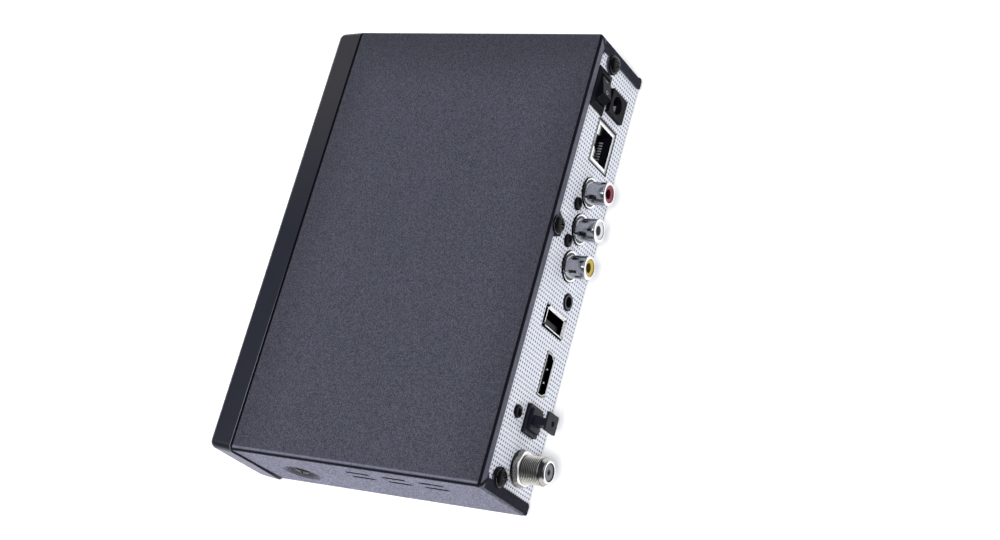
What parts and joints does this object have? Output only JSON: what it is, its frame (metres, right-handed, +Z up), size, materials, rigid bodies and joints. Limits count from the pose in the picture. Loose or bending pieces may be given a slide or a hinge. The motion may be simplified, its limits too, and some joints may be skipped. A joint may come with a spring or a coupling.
{
  "type": "satellite TV receiver",
  "caption": "Compact satellite TV receiver in a folded black steel case, with a dotted white rear panel of sockets, a power rocker and a threaded aerial socket.",
  "frame": {"origin": "middle of the part's bounding box, on the surface that the feet stand on", "axes": "+X across the case towards the threaded aerial socket, +Y to the rear panel, +Z up"},
  "size_m": [0.1618, 0.1216, 0.0365],
  "materials": {
    "black_powder_coat": "textured",
    "galvanised_steel": "satin",
    "printed_foil": "satin",
    "black_rubber": "matte",
    "black_screw": "satin",
    "black_plastic": "matte",
    "gloss_black_plastic": "gloss",
    "smoked_window": "gloss",
    "circuit_board": "satin",
    "display_face": "gloss",
    "clear_lamp": "gloss",
    "plated_steel": "satin",
    "chip_black": "matte",
    "bare_aluminium": "satin",
    "capacitor_sleeve": "gloss",
    "nickel": "polished",
    "chrome_shell": "polished",
    "grey_insulator": "matte",
    "brass_contact": "satin",
    "red_plastic": "gloss",
    "white_plastic": "gloss",
    "yellow_plastic": "gloss",
    "red_wire": "gloss"
  },
  "bodies": {
    "case": {"top_cover": "black_powder_coat", "tray": "galvanised_steel", "rear_label": "printed_foil", "rubber_feet": "black_rubber", "rear_cover_screws": "black_screw", "side_cover_screws": "black_screw", "connector_screws": "black_screw", "front_bezel": "black_plastic", "front_window": "smoked_window", "front_board": "circuit_board", "front_board_screws": "black_screw", "display_module": "display_face", "standby_lamp": "clear_lamp", "infrared_receiver": "black_plastic", "tact_switches": "black_plastic", "front_header": "black_plastic", "main_board": "circuit_board", "board_screws": "plated_steel", "processor": "chip_black", "heat_sink": "bare_aluminium", "memory_chips": "chip_black", "flash_chip": "chip_black", "capacitors": "capacitor_sleeve", "coils": "chip_black", "tuner_can": "plated_steel", "aerial_socket": "nickel", "aerial_insulator": "grey_insulator", "aerial_contact": "brass_contact", "aerial_washer": "nickel", "aerial_nut": "nickel", "optical_socket": "black_plastic", "video_socket_shell": "plated_steel", "video_socket_insulator": "black_plastic", "usb_shell": "plated_steel", "usb_insulator": "black_plastic", "serial_jack": "black_plastic", "phono_block": "black_plastic", "phono_contacts": "plated_steel", "lan_shield": "plated_steel", "lan_housing": "black_plastic", "lan_lamps": "clear_lamp", "lan_contacts": "brass_contact", "power_inlet": "black_plastic", "power_pin": "plated_steel", "power_spring": "plated_steel", "switch_frame": "black_plastic", "switch_terminals": "brass_contact", "switch_wires": "red_wire", "phono_sleeve_red": "chrome_shell", "phono_sleeve_white": "chrome_shell", "phono_sleeve_yellow": "chrome_shell", "phono_insert_red": "red_plastic", "phono_insert_white": "white_plastic", "phono_insert_yellow": "yellow_plastic"},
    "power_rocker": {"power_rocker": "gloss_black_plastic"},
    "dust_plug": {"dust_plug": "black_plastic"},
    "power_button": {"power_button": "black_plastic"},
    "channel_down_button": {"channel_down_button": "black_plastic"},
    "channel_up_button": {"channel_up_button": "black_plastic"}
  },
  "joints": [
    {"name": "power_rocker_tilt", "type": "hinge", "parent": "case", "child": "power_rocker", "pos_m": [-0.0633, 0.04825, 0.0272], "axis": [0, 0, -1], "range_deg": [0, 32]},
    {"name": "dust_plug_slide", "type": "slide", "parent": "case", "child": "dust_plug", "axis": [0, 1, 0], "range_m": [0, 0.012]},
    {"name": "power_button_press", "type": "slide", "parent": "case", "child": "power_button", "axis": [0, 1, 0], "range_m": [0, 0.0005], "stiffness_N_per_m": 400, "springref_m": -0.0008},
    {"name": "channel_down_press", "type": "slide", "parent": "case", "child": "channel_down_button", "axis": [0, 1, 0], "range_m": [0, 0.0005], "stiffness_N_per_m": 400, "springref_m": -0.0008},
    {"name": "channel_up_press", "type": "slide", "parent": "case", "child": "channel_up_button", "axis": [0, 1, 0], "range_m": [0, 0.0005], "stiffness_N_per_m": 400, "springref_m": -0.0008}
  ]
}
